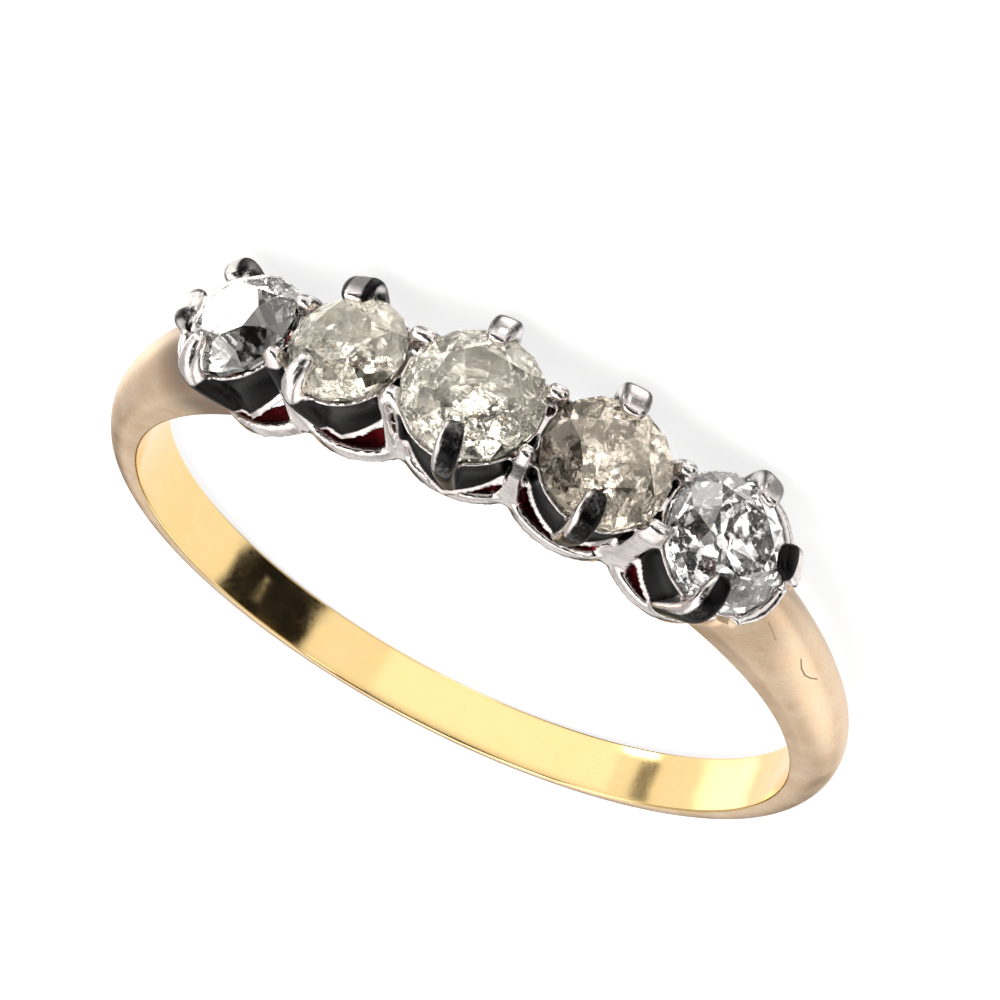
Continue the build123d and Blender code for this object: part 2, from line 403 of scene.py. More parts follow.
wall_turns = 120
wall_rows = 12
scoop_extra = 0.06
scoop_shape = 0.8
point_shape = 0.8
arc_rise = 0.05
rim_flare = 0.05
rim_height = 0.20


def rim_depth(stone, turn):
    """Depth of a coronet's lower edge round its stone: two points, with arcs between them."""
    low = band_depth + stone.drop * (girdle_height - band_depth - rail_height / 2)
    high = band_depth - arc_rise
    return low + (high - low) * (abs(cos(turn)) ** point_shape)


# The end coronets swell and carry a ledge, round the side where their end claw stands.
end_turns = dict(zip((stones[0], stones[-1]), end_claw_angles))
collar_edge = Edge(0.25, 0.5)
collar_spread = 1.5
collar_span = 62.0
collar_width = 0.13
collar_depth = 0.10

# Even stations from one end of the ledge to the other. half_depth: a share of the collar's width.
LedgeStation = namedtuple("LedgeStation", "half_width half_depth")
ledge_stations = [
    LedgeStation(0.06, 0.5),
    LedgeStation(0.10, 0.9),
    LedgeStation(0.12, 1.0),
    LedgeStation(0.12, 1.0),
    LedgeStation(0.12, 1.0),
    LedgeStation(0.10, 0.9),
    LedgeStation(0.06, 0.5),
]


def collar_at(stone, turn):
    """How far an end coronet's wall swells towards the shoulder."""
    if stone not in end_turns:
        return 0.0
    return end_collar * past(collar_edge, cos(turn - radians(end_turns[stone])))


def ledge(shape, stone, place):
    """A raised ledge of white metal round the shoulder side of an end stone."""
    radius = stone_radius(stone) + stone_gap + collar_width
    last = len(ledge_stations) - 1
    path = []
    for k in range(last + 1):
        turn = radians(end_turns[stone] + collar_span * (2 * k / last - 1))
        path.append(place @ Vector((radius * cos(turn), radius * sin(turn), -collar_depth)))
    across = [station.half_width for station in ledge_stations]
    through = [station.half_depth * collar_width for station in ledge_stations]
    bar(shape, path, across, through, place.to_3x3() @ Vector((0, 0, 1)))


def coronet(shape, stone, place):
    """A coronet's wall: scooped outside, with a flared lower rim and the stone's seat inside."""
    radius = stone_radius(stone)
    lip = radius + band_lip
    top = girdle_thickness / 2 + stone_gap + band_drop
    loops = []
    for k in range(wall_turns):
        turn = 2 * pi * k / wall_turns
        low = rim_depth(stone, turn)
        swell = collar_at(stone, turn)
        outer = []
        inner = []
        for j in range(wall_rows + 1):
            share = j / wall_rows
            depth = top + (low - top) * share
            scoop = (band_waist + scoop_extra) * sin(pi * share) ** scoop_shape
            taper = band_taper * share
            flare = rim_flare * smooth_step(1 - (low - depth) / rim_height)
            out = lip - scoop - taper + flare + swell * (1 + collar_spread * taper)
            outer.append((out, -depth))
            seat = radius + stone_gap - (depth - girdle_thickness / 2)
            inner.append((max(seat, lip - band_wall - band_taper * share), -depth))
        loop = []
        for out, height in outer + inner[::-1]:
            loop.append(place @ Vector((out * cos(turn), out * sin(turn), height)))
        loops.append(loop)
    shape.tube(loops, closed_along=True)


# out: from the stone's girdle, outwards from its axis. height: from the girdle plane.
ClawStation = namedtuple("ClawStation", "out height half_width half_depth")
side_claw_stations = [
    ClawStation(-0.06, -1.30, 0.17, 0.12),
    ClawStation(0.03, -0.80, 0.21, 0.17),
    ClawStation(0.12, -0.35, 0.24, 0.20),
    ClawStation(0.15, 0.00, 0.26, 0.22),
    ClawStation(0.06, 0.27, 0.27, 0.20),
    ClawStation(-0.17, 0.44, 0.26, 0.16),
    ClawStation(-0.38, 0.53, 0.21, 0.12),
]

side_claw_half_width = side_claw_stations[3].half_width

# Each stone's two side claws. wide: a share of the stations' width. dark: how dark a painted reflection makes
# the near claw's face and the far claw's edges.
SideClaws = namedtuple("SideClaws", "stone near_wide far_wide near_dark far_dark")
claw_looks = [
    SideClaws("stone_1", 0.85, 0.95, 0.10, 0.75),
    SideClaws("stone_2", 0.75, 1.30, 0.00, 0.95),
    SideClaws("stone_3", 0.92, 1.05, 0.66, 0.50),
    SideClaws("stone_4", 0.98, 1.20, 0.72, 0.55),
    SideClaws("stone_5", 1.05, 1.05, 0.80, 0.45),
]
end_claw_width = 1.45


def side_claw(shape, stone, place, degrees_round, width):
    """A claw up the outside of a coronet and over the girdle."""
    turn = radians(degrees_round)
    radius = stone_radius(stone)
    out = Vector((cos(turn), sin(turn), 0))
    up = Vector((0, 0, 1))
    sideways = Vector((-sin(turn), cos(turn), 0))
    path = [place @ (out * (radius + station.out) + up * station.height) for station in side_claw_stations]
    across = [station.half_width * width for station in side_claw_stations]
    through = [station.half_depth for station in side_claw_stations]
    bar(shape, path, across, through, place.to_3x3() @ sideways)


# inward: how far the post has moved from the rail's cusp (0) to the corner between the girdles (1).
# radius: from the rail's height (0) to the girdle's (1). The rest as for the side claws.
PostStation = namedtuple("PostStation", "inward height half_width half_depth")
post_stations = [
    PostStation(-0.10, -0.10, 1.60, 0.16),
    PostStation(-0.05, 0.16, 1.25, 0.16),
    PostStation(0.20, 0.45, 0.80, 0.16),
    PostStation(0.60, 0.75, 0.80, 0.18),
    PostStation(1.00, 0.97, 1.00, 0.21),
    PostStation(1.25, 1.10, 0.85, 0.17),
]

# One row for each gap between two stones, from the photo's left. near, far: the posts' half widths.
# ribs: 2 where a groove splits the near post. dark: how dark it is painted, as patina and painted shade.
Corner = namedtuple("Corner", "near far ribs dark")
corners = [
    Corner(0.23, 0.26, 1, 0.9),
    Corner(0.27, 0.34, 2, 0.3),
    Corner(0.19, 0.26, 1, 0.5),
    Corner(0.32, 0.24, 1, 0.0),
]
corner_foot_share = 0.94
# A rib's width and its shift from the middle, as shares of the post's, and the share of the shift left above.
rib_width = 0.42
rib_shift = 0.55
rib_close = 0.3


def corner_claw(shape, first, side):
    """A post from the rail's cusp that ends in a claw in the corner between two stones."""
    middle = (head_angles[first] + head_angles[first + 1]) / 2
    half_turn = radians((head_angles[first + 1] - head_angles[first]) / 2)
    mean = (stone_radius(stones[first]) + stone_radius(stones[first + 1])) / 2
    stand = sqrt((mean + corner_claw_set) ** 2 - (girdle_ring * sin(half_turn)) ** 2)
    cusp = corner_foot_share * rail_width * sqrt(1 - (rail_ring * sin(half_turn) / rail_reach) ** 2)
    corner = corners[first]
    sideways = on_ring(middle + 90, 1, 0)
    half_width = corner.near if side > 0 else corner.far
    split = corner.ribs == 2 and side > 0
    shifts = [-rib_shift, rib_shift] if split else [0.0]
    share = rib_width if split else 1.0
    for shift in shifts:
        path = []
        for station in post_stations:
            reach = cusp + (stand - cusp) * station.inward
            radius = rail_ring + (girdle_ring - rail_ring) * station.height
            spare = half_width * shift * (1 if station.height < 1 else rib_close)
            path.append(on_ring(middle, radius, side * reach) + sideways * spare)
        across = [half_width * station.half_width * share for station in post_stations]
        through = [station.half_depth for station in post_stations]
        bar(shape, path, across, through, sideways)


rail_steps = 40
rail_web = 0.22
rail_lap = 0.02


def rail_lobe(shape, angle, side, reach_left, reach_right):
    """One side of the base rail under a stone, from cusp to cusp, open under the stone."""
    hole_reach = rail_reach - 2 * rail_wall - rail_web
    hole_width = rail_width - rail_wall - rail_web
    loops = []
    for k in range(rail_steps + 1):
        x = -reach_left + (reach_left + reach_right) * k / rail_steps
        outer = rail_width * sqrt(max(1 - (x / rail_reach) ** 2, 0))
        inner = hole_width * sqrt(max(1 - (x / hole_reach) ** 2, 0)) - rail_lap
        low, high = finger_radius, rail_ring
        loop = []
        for s, r in ((inner, low), (outer, low), (outer, high), (inner, high)):
            loop.append(on_ring(angle + degrees(asin(x / rail_ring)), r, side * s))
        loops.append(loop if side > 0 else loop[::-1])
    shape.tube(loops)


solder_voxel = 0.0535
worn_passes = 3


def build_setting():
    shape = Shape()
    for k, (stone, look, angle) in enumerate(zip(stones, claw_looks, head_angles)):
        place = stone_matrix(angle)
        coronet(shape, stone, place)
        side_claw(shape, stone, place, stone.near, look.near_wide)
        side_claw(shape, stone, place, stone.far, look.far_wide)
        left = (angle - head_angles[k - 1]) / 2 if k else angle + seam_angle
        right = (head_angles[k + 1] - angle) / 2 if k < len(stones) - 1 else seam_angle - angle
        reach = [rail_ring * sin(radians(part)) + rail_lap for part in (left, right)]
        for side in (-1, 1):
            rail_lobe(shape, angle, side, *reach)
    for first in range(len(stones) - 1):
        for side in (-1, 1):
            corner_claw(shape, first, side)
    for end in (0, -1):
        place = stone_matrix(head_angles[end])
        side_claw(shape, stones[end], place, end_turns[stones[end]], end_claw_width)
        ledge(shape, stones[end], place)
    setting = shape.make("setting_metal")
    remesh = setting.modifiers.new("soldered", "REMESH")
    remesh.mode = "VOXEL"
    remesh.voxel_size = solder_voxel * MM
    remesh.use_smooth_shade = True
    smooth = setting.modifiers.new("worn", "SMOOTH")
    smooth.iterations = worn_passes
    keep_modifiers(setting)
    # Black patina together with painted shade and painted reflections on the setting.
    add_mask(setting, "patina_and_shade", patina_and_shade_at)
    # A mask of painted dark red reflection below the coronets' rims.
    add_mask(setting, "red_reflection", red_reflection_at)
    return setting


def nearest_stone(point):
    """Number of the stone that a point belongs to, and the point in that stone's own frame."""
    angle = degrees(atan2(-point.x, -point.y))
    number = min(range(len(stones)), key=lambda k: abs(head_angles[k] - angle))
    return number, stone_places[number] @ point


# Edges of the patina and of the painted shade and reflections, in mm unless a share is named.
red_start = Edge(0.0, 0.10)          # below a coronet's lower rim
finger_side = Edge(0.0, 0.12)        # outwards from the finger hole's wall, which is rubbed bright
claw_flank = Edge(0.95, 0.15)        # across a claw, as a share of its half width
claw_back = Edge(0.0, 0.08)          # outwards from how far a claw reaches over the stone
leg_top = Edge(-0.05, 0.20)          # below the girdle, where a claw's leg gets dark
bright_stripe = Edge(-0.72, 0.25)    # across a near claw, where its bright left edge ends
leg_end = Edge(-0.06, 0.08)          # below the bright rim, where a leg is bright again
dark_flank = Edge(0.35, 0.3)         # across a far claw, where its dark edges start
inner_face = Edge(-0.16, 0.08)       # outwards from the lip, where a claw's inner face ends
wall_front = Edge(-0.02, 0.07)       # outwards from the lip, where the scoop ends
wall_back = Edge(0.02, 0.05)         # outwards from the wall's inner face
rim_start = Edge(0.10, 0.06)         # above a coronet's lower edge, which is bright
scoop_top = Edge(0.17, 0.06)         # below the girdle
rail_hole = Edge(0.86, 0.08)         # outwards over the rail's lobe, as a share of it
rail_top = Edge(-0.12, 0.10)         # below the rail's outside
post_flank = Edge(0.30, 0.08)        # across a post
post_front = Edge(0.0, 0.05)         # outwards from the lip
post_top = Edge(-0.02, 0.12)         # below the girdle, where a post gets dark
post_end = Edge(0.62, 0.16)          # below the girdle, where it is bright again
claw_shadow = 0.85
tip_depth = 0.05
tip_reach = 0.75
leg_reach = 0.14


def red_reflection_at(point):
    """1 below a coronet's lower rim, where a dark red reflection is painted, and 0 on the side towards the
    finger.
    """
    number, local = nearest_stone(point)
    low = rim_depth(stones[number], atan2(local.y, local.x))
    return past(red_start, -local.z - low) * past(finger_side, hypot(point.x, point.y) - finger_radius)


# A claw's turn round its stone, its share of the width, and how dark its face, edges and inner face are
# painted, as patina, painted shade and painted reflection.
ClawMark = namedtuple("ClawMark", "turn wide face edges inner")


def claw_marks(number):
    """The claws that stand round a stone."""
    stone, look = stones[number], claw_looks[number]
    marks = [ClawMark(stone.near, look.near_wide, look.near_dark, 0.0, 0.0),
             ClawMark(stone.far, look.far_wide, 0.0, look.far_dark, 0.0)]
    if stone is stones[0]:
        marks.append(ClawMark(end_turns[stone], end_claw_width, 0.0, 0.6, 0.0))
    if stone is stones[-1]:
        marks.append(ClawMark(end_turns[stone], end_claw_width, 0.0, 0.0, 1.0))
    return marks


def claw_shade_and_reflection(number, local, scoop):
    """The value of patina, painted shade and painted reflection where a claw covers the wall: its leg gets
    painted shade, and each face is as the table says.
    """
    away = hypot(local.x, local.y)
    turn = atan2(local.y, local.x)
    depth = -local.z
    lip = stone_radius(stones[number]) + band_lip
    above_rim = rim_depth(stones[number], turn) - rim_start.start - depth
    reach = tip_reach if depth < tip_depth else leg_reach
    for claw in claw_marks(number):
        half_width = side_claw_half_width * claw.wide
        across = ((turn - radians(claw.turn) + pi) % (2 * pi) - pi) * away / half_width
        covered = (1 - past(claw_flank, abs(across))) * past(claw_back, away - lip + reach)
        # Claw legs get painted shade, and claw faces and edges get painted dark reflections.
        dark = max(claw_shadow * past(leg_top, depth), claw.face) * past(bright_stripe, across)
        dark = dark * (1 - past(leg_end, -above_rim))
        dark = max(dark, claw.edges * past(dark_flank, abs(across)))
        dark = max(dark, claw.inner * (1 - past(inner_face, away - lip)))
        scoop = scoop * (1 - covered) + dark * covered
    return scoop


def patina_and_shade_at(point):
    """How far a place lies in a dark scoop or inside a coronet, darkened by patina and painted shade, and how
    dark claws and posts are painted. Rims and bright claw tips stay at 0.
    """
    number, local = nearest_stone(point)
    stone = stones[number]
    away = hypot(local.x, local.y)
    depth = -local.z
    turn = atan2(local.y, local.x)
    swell = collar_at(stone, turn)
    lip = stone_radius(stone) + band_lip + swell
    inside = 1 - past(wall_back, away - lip + band_wall)
    wall = max(past(rim_start, rim_depth(stone, turn) - depth), inside)
    scoop = past(scoop_top, depth) * wall * (1 - past(wall_front, away - lip)) * (1 - swell / end_collar)
    lobe = hypot(local.x / rail_reach, local.y / rail_width)
    # Painted shade over the rail's lobe under the stone.
    rail = (1 - past(rail_hole, lobe)) * past(rail_top, depth - girdle_ring + rail_ring)
    rail = rail * past(finger_side, hypot(point.x, point.y) - finger_radius)
    scoop = claw_shade_and_reflection(number, local, max(scoop, rail))
    angle = degrees(atan2(-point.x, -point.y))
    gap = min(range(len(corners)), key=lambda k: abs(corner_angles[k] - angle))
    across = abs(radians(angle - corner_angles[gap])) * girdle_ring
    post = (1 - past(post_flank, across)) * past(post_front, away - lip) * (point.z > 0)
    body = past(post_top, depth) * (1 - past(post_end, depth))
    return max(scoop, post * body * corners[gap].dark)


def new_material(name):
    """A material, a writer for its nodes, and the inputs of its shader."""
    material = bpy.data.materials.new(name)
    material.use_nodes = True
    return material, Nodes(material.node_tree), material.node_tree.nodes["Principled BSDF"].inputs


def dress(obj, material):
    obj.data.materials.clear()
    obj.data.materials.append(material)


# The camera in the ring's own frame, in mm
camera_place = Vector((-5.89, -40.24, 14.45))
camera_aim = Vector((0.46, 0.0, -2.81))
camera_up = Vector((0.411, -0.413, -0.812))
camera_lens = 64.8


def build_camera():
    back = (camera_place - camera_aim).normalized()
    right = camera_up.cross(back).normalized()
    camera = bpy.data.objects.new("camera", bpy.data.cameras.new("camera"))
    camera.data.lens = camera_lens
    camera.data.clip_start = 0.001
    camera.data.clip_end = 10
    turn = Matrix((right, back.cross(right), back)).transposed().to_4x4()
    turn = ring_to_row.to_3x3().normalized().to_4x4() @ turn
    camera.matrix_world = Matrix.Translation(ring_to_row @ camera_place) @ turn
    bpy.context.scene.collection.objects.link(camera)
    bpy.context.scene.camera = camera


def area_light(name, place, aim, size, power):
    light = bpy.data.lights.new(name, "AREA")
    light.shape = "RECTANGLE"
    light.size, light.size_y = size
    light.energy = power
    obj = bpy.data.objects.new(name, light)
    obj.location = place
    obj.rotation_euler = (Vector(aim) - Vector(place)).to_track_quat("-Z", "Y").to_euler()
    bpy.context.scene.collection.objects.link(obj)


Patch = namedtuple("Patch", "name azimuth elevation half_width half_height soft brightness")

# What the metal and the stones see round them, in the ring's own frame. Azimuth 0 is behind the ring,
# seen from the camera, and grows towards the photo's left. A later patch covers an earlier one.
room_patches = [
    Patch("ceiling", 0, 90, 180, 46, 12, 1.25),
    Patch("lower half", 0, -90, 180, 84, 6, 1.05),
    Patch("under the ring", 0, -90, 180, 46, 8, 0.30),
    Patch("straight below", 0, -90, 180, 20, 7, 1.6),
    Patch("flag upper right", -45, 40, 36, 10, 6, 0.42),
    Patch("dark card left of the camera", 150, 8, 27, 13, 4, 0.03),
    Patch("inside glow", 158, -19, 46, 9, 3, 1.28),
    Patch("dark over the camera", -162, 42, 42, 24, 8, 0.03),
    Patch("left window", 112, 22, 13, 24, 6, 2.2),
    Patch("left strip", 58, -14, 14, 10, 5, 1.8),
    Patch("horizon behind", 1, 1, 36, 12, 5, 0.04),
    Patch("pale strip behind", 0, 22, 34, 7, 4, 0.85),
    Patch("low softbox right", -63, 14, 26, 14, 5, 1.45),
    Patch("dark card right", -107.5, -17, 20, 14, 2, 0.015),
    Patch("spot in the card", -103.5, -16.6, 0.5, 0.10, 0.2, 7.0),
    Patch("dark strip left", 98.5, -15, 4, 5, 2.0, 0.30),
    Patch("window core", 102.5, -26.5, 7, 4.5, 1.5, 7.0),
    Patch("lamp left of the camera", 138, 40, 9, 7, 3, 4.5),
    Patch("lamp right of the camera", -136, 6, 6, 9, 3, 3.5),
    Patch("lamp above", 178, 72, 22, 5, 3, 3.5),
    Patch("lamp below", 172, -52, 14, 6, 3, 3.0),
]
room_grey = 0.55
stone_light = 2.8


class Nodes:
    """Adds nodes to a tree and links them, so that a formula reads from left to right."""

    def __init__(self, tree):
        self.tree = tree

    def node(self, kind, **settings):
        node = self.tree.nodes.new(kind)
        for key, value in settings.items():
            setattr(node, key, value)
        return node

    def feed(self, socket, value):
        if isinstance(value, bpy.types.NodeSocket):
            self.tree.links.new(value, socket)
        elif value is not None:
            socket.default_value = value

    def math(self, operation, first, second=None, third=None):
        node = self.node("ShaderNodeMath", operation=operation)
        for socket, value in zip(node.inputs, (first, second, third)):
            self.feed(socket, value)
        return node.outputs[0]

    def vector(self, operation, first, second=None, scale=None, output=0):
        node = self.node("ShaderNodeVectorMath", operation=operation)
        for socket, value in zip(node.inputs, (first, second)):
            self.feed(socket, value)
        if scale is not None:
            self.feed(node.inputs["Scale"], scale)
        return node.outputs[output]

    def millimetres(self):
        return self.vector("SCALE", self.node("ShaderNodeTexCoord").outputs["Object"], scale=1 / MM)

    def noise(self, place, scale, detail, distortion=0.0):
        node = self.node("ShaderNodeTexNoise")
        values = {"Vector": place, "Scale": scale, "Detail": detail, "Distortion": distortion}
        for label, value in values.items():
            self.feed(node.inputs[label], value)
        return node.outputs[0]

    def cells(self, place, scale):
        """Random colours in cells, with each cell's middle and the distance to it."""
        node = self.node("ShaderNodeTexVoronoi", feature="F1")
        self.feed(node.inputs["Vector"], place)
        node.inputs["Scale"].default_value = scale
        return node.outputs

    def attribute(self, name):
        return self.node("ShaderNodeAttribute", attribute_name=name).outputs["Fac"]

    def bump(self, height, strength, millimetres):
        node = self.node("ShaderNodeBump")
        self.feed(node.inputs["Height"], height)
        node.inputs["Strength"].default_value = strength
        node.inputs["Distance"].default_value = millimetres * MM
        return node.outputs["Normal"]

    def use(self, tree, values):
        node = self.node("ShaderNodeGroup", node_tree=tree)
        for label, value in values.items():
            node.inputs[label].default_value = value
        return node.outputs

    def ramp(self, value, low, high, bottom=0.0, top=1.0):
        node = self.node("ShaderNodeMapRange", interpolation_type="SMOOTHSTEP")
        for socket, number in zip(node.inputs, (value, low, high, bottom, top)):
            self.feed(socket, number)
        return node.outputs[0]

    def mix(self, share, first, second):
        """A colour between two: each is a socket or red, green and blue."""
        node = self.node("ShaderNodeMix", data_type="RGBA")
        self.feed(node.inputs["Factor"], share)
        for socket, color in ((node.inputs[6], first), (node.inputs[7], second)):
            self.feed(socket, (*color, 1) if isinstance(color, tuple) else color)
        return node.outputs[2]


def build_room():
    """The studio round the ring: soft bright patches and dark ones, with soft edges."""
    world = bpy.data.worlds.new("room")
    world.use_nodes = True
    n = Nodes(world.node_tree)
    background = world.node_tree.nodes["Background"]
    direction = n.node("ShaderNodeTexCoord").outputs["Generated"]
    axes = ring_to_row.to_3x3().normalized().transposed()
    x, y, z = [n.vector("DOT_PRODUCT", direction, tuple(axis), output=1) for axis in axes]
    azimuth = n.math("ARCTAN2", x, y)
    elevation = n.math("ARCSINE", z)
    brightness = room_grey
    for patch in room_patches:
        soft = radians(patch.soft)
        masks = []
        for value, centre, half in ((azimuth, patch.azimuth, patch.half_width),
                                    (elevation, patch.elevation, patch.half_height)):
            away = n.math("SUBTRACT", value, radians(centre))
            away = n.math("ABSOLUTE", n.math("WRAP", away, pi, -pi))
            masks.append(n.ramp(away, radians(half) - soft, radians(half) + soft, 1.0, 0.0))
        mask = n.math("MULTIPLY", *masks) if patch.half_width < 180 else masks[1]
        start = brightness
        brightness = n.node("ShaderNodeMix", data_type="FLOAT")
        n.feed(brightness.inputs[0], mask)
        n.feed(brightness.inputs[2], start)
        n.feed(brightness.inputs[3], patch.brightness)
        brightness = brightness.outputs[0]
    through = n.math("MULTIPLY", n.node("ShaderNodeLightPath").outputs["Is Transmission Ray"], stone_light)
    n.feed(background.inputs["Strength"], n.math("MULTIPLY", brightness, n.math("ADD", 1.0, through)))
    background.inputs["Color"].default_value = (1.0, 0.99, 0.975, 1)
    bpy.context.scene.world = world


def build_stage():
    bpy.ops.mesh.primitive_plane_add(size=2, location=(0, 0, 0))
    floor = bpy.context.object
    floor.name = "floor"
    paper, _, shader = new_material("floor paper")
    shader["Base Color"].default_value = (0.42, 0.42, 0.42, 1)
    shader["Roughness"].default_value = 0.7
    shader["Emission Color"].default_value = (1, 1, 1, 1)
    shader["Emission Strength"].default_value = 0.83
    dress(floor, paper)
    floor.visible_glossy = False
    floor.visible_transmission = False
    build_room()
    area_light("top", (0.04, -0.06, 0.20), (0, 0, 0), (0.16, 0.14), 0.05)


def node_group(name, inputs, outputs):
    """An empty shader node group with named number inputs and outputs."""
    tree = bpy.data.node_groups.new(name, "ShaderNodeTree")
    for label, value in inputs.items():
        socket = tree.interface.new_socket(name=label, in_out="INPUT", socket_type="NodeSocketFloat")
        socket.default_value = value
    for label in outputs:
        tree.interface.new_socket(name=label, in_out="OUTPUT", socket_type="NodeSocketFloat")
    return Nodes(tree), tree.nodes.new("NodeGroupInput").outputs, tree.nodes.new("NodeGroupOutput").inputs


# Mottles and scratches to the millimetre, the broad mottles' share, and the four ways that scratches run.
broad_mottle = 1.3
fine_mottle = 11.0
broad_share = 0.65
scratch_spread = (0.9, 34, 20)
scratch_turns = [(0.3, 0.2, 0.5), (1.1, 0.7, 2.0), (2.3, 1.4, 0.9), (0.7, 2.1, 1.5)]


def build_fine_wear():
    """Mottling and fine scratches of worn metal, on places in millimetres."""
    inputs = {"Size": 1.0, "Scratch Length": 1.0}
    n, given, result = node_group("fine wear", inputs, ["Mottle", "Scratches", "Height"])
    place = n.millimetres()
    broad = n.noise(n.vector("SCALE", place, scale=n.math("DIVIDE", broad_mottle, given["Size"])), 1.0, 4.0)
    fine = n.noise(n.vector("SCALE", place, scale=n.math("DIVIDE", fine_mottle, given["Size"])), 1.0, 3.0)
    mottle = n.math("ADD", n.math("MULTIPLY", broad, broad_share), n.math("MULTIPLY", fine, 1 - broad_share))
    n.feed(result["Mottle"], n.ramp(mottle, 0.35, 0.65))
    along = n.vector("SCALE", place, scale=n.math("DIVIDE", 1.0, given["Scratch Length"]))
    scratches = 0.0
    for turn in scratch_turns:
        lines = n.node("ShaderNodeMapping")
        n.feed(lines.inputs["Vector"], along)
        lines.inputs["Rotation"].default_value = turn
        lines.inputs["Scale"].default_value = scratch_spread
        line = n.ramp(n.noise(lines.outputs[0], 1.0, 1.0), 0.69, 0.76)
        scratches = n.math("MAXIMUM", scratches, line)
    n.feed(result["Scratches"], scratches)
    n.feed(result["Height"], n.math("SUBTRACT", n.math("MULTIPLY", mottle, 0.8), scratches))
    return n.tree


# Cells to the millimetre in a stone of size 1, how strongly the small ones lean, and which tones are painted
# dark and grey as reflections.
shard_cells = 2.3
speck_cells = 5.5
fine_lean = 0.45
dark_tone = (0.20, 0.23)
grey_tone = (0.45, 0.49)
broad_reflection_flakes = 0.62
seed_step = (3.1, 7.3, 5.7)


def build_inclusions():
    """Clouds, feathers and specks inside a stone, shards, and flakes of painted dark reflection, on places in
    millimetres.
    """
    inputs = {"Seed": 0.0, "Size": 1.0, "Cover": 0.5}
    n, given, result = node_group("inclusions", inputs, ["Cloud", "Feather", "Speck", "Shards", "Flakes"])
    place = n.vector("SCALE", n.millimetres(), scale=n.math("DIVIDE", 1.0, given["Size"]))
    place = n.vector("ADD", place, n.vector("SCALE", seed_step, scale=given["Seed"]))
    cloud = n.noise(place, 1.1, 5.0, distortion=0.6)
    edge = n.math("SUBTRACT", 0.72, n.math("MULTIPLY", given["Cover"], 0.44))
    n.feed(result["Cloud"], n.ramp(cloud, n.math("SUBTRACT", edge, 0.10), n.math("ADD", edge, 0.10)))
    ridge = n.math("ABSOLUTE", n.math("SUBTRACT", n.noise(place, 1.7, 3.0, distortion=1.2), 0.5))
    n.feed(result["Feather"], n.ramp(ridge, 0.0, 0.03, 1.0, 0.0))
    broad, fine = n.cells(place, shard_cells), n.cells(place, speck_cells)
    n.feed(result["Speck"], n.ramp(fine["Distance"], 0.10, 0.20, 1.0, 0.0))
    tilts = []
    for cells in (broad, fine):
        lean = n.vector("SUBTRACT", cells["Color"], (0.5, 0.5, 0.5))
        away = n.vector("SUBTRACT", place, cells["Position"])
        tilts.append(n.vector("DOT_PRODUCT", lean, away, output=1))
    tilt = n.math("ADD", tilts[0], n.math("MULTIPLY", tilts[1], fine_lean))
    n.feed(result["Shards"], n.math("MULTIPLY", tilt, given["Size"]))
    # Flake tones of painted dark and grey reflections.
    tones = []
    for cells, channel in ((broad, (1, 0, 0)), (fine, (0, 1, 0))):
        tone = n.vector("DOT_PRODUCT", cells["Color"], channel, output=1)
        tones.append(n.math("ADD", n.ramp(tone, *dark_tone, 0.0, 0.5), n.ramp(tone, *grey_tone, 0.0, 0.5)))
    fine_reflection_flakes = n.math("ADD", broad_reflection_flakes, n.math("MULTIPLY", tones[1], 1 - broad_reflection_flakes))
    n.feed(result["Flakes"], n.math("MULTIPLY", tones[0], fine_reflection_flakes))
    return n.tree


# Two scratches on the photo's right shoulder, as angle along the ring, radius and side of their points.
scratch_paths = [
    [(49.1, 9.86, 0.39), (50.6, 9.76, 0.46), (52.1, 9.72, 0.47), (53.2, 9.73, 0.42), (54.4, 9.76, 0.32)],
    [(40.5, 10.06, 0.46), (43.6, 9.90, 0.54)],
]
scratch_depths = [1.0, 0.45]
scratch_width = 0.018


def deep_scratches(n):
    """1 on the scratches, from the distance to each straight piece of them."""
    place = n.millimetres()
    mask = 0.0
    for depth, path in zip(scratch_depths, scratch_paths):
        points = [(ring_to_row @ on_ring(*spot)) / MM for spot in path]
        for first, second in zip(points, points[1:]):
            away = n.vector("SUBTRACT", place, tuple(first))
            along = second - first
            share = n.vector("DOT_PRODUCT", away, tuple(along / along.length_squared), output=1)
            share = n.math("MINIMUM", n.math("MAXIMUM", share, 0.0), 1.0)
            nearest = n.vector("SCALE", tuple(along), scale=share)
            distance = n.vector("DISTANCE", away, nearest, output=1)
            line = n.ramp(distance, scratch_width * 0.5, scratch_width * 1.3, depth, 0.0)
            mask = n.math("MAXIMUM", mask, line)
    return mask


